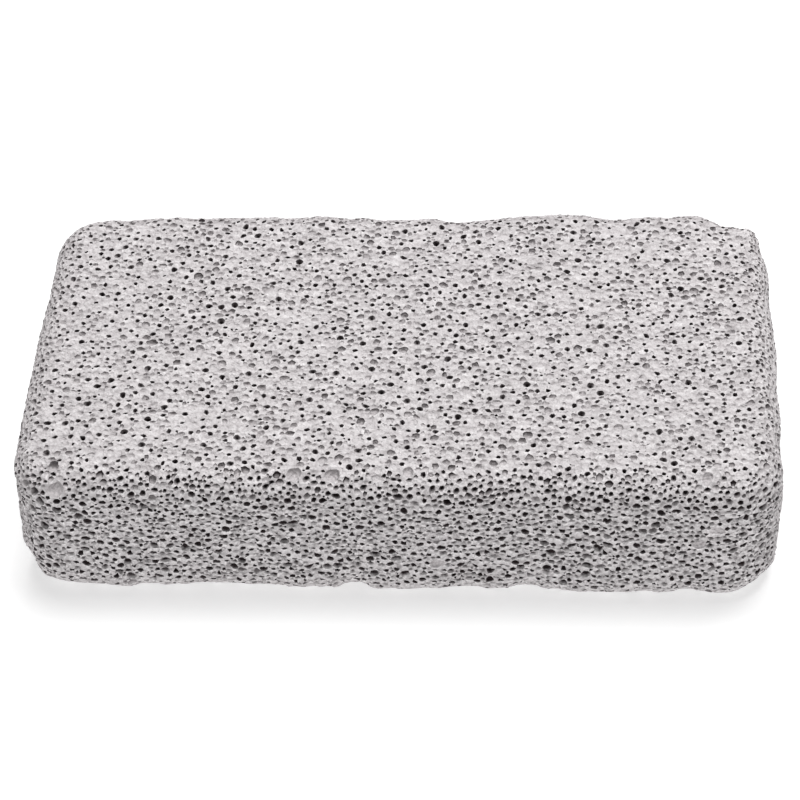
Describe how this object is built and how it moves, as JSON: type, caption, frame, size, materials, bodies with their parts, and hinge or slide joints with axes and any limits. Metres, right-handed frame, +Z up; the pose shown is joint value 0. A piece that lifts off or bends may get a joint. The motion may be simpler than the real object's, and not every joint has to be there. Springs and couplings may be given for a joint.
{
  "type": "pumice stone",
  "caption": "Rounded rectangular block of light grey pumice, porous all over with fine gas bubbles, for rubbing skin; lies flat on its underside.",
  "frame": {"origin": "centre of the block's bounding box at its flat underside", "axes": "+X along the length, +Y across the width, away from the side that faces a viewer, +Z up"},
  "size_m": [0.1004, 0.0566, 0.0217],
  "materials": {
    "pumice": "matte, open porous surface of burst gas bubbles, light warm grey"
  },
  "bodies": {
    "root": {"stone": "pumice"}
  },
  "joints": []
}
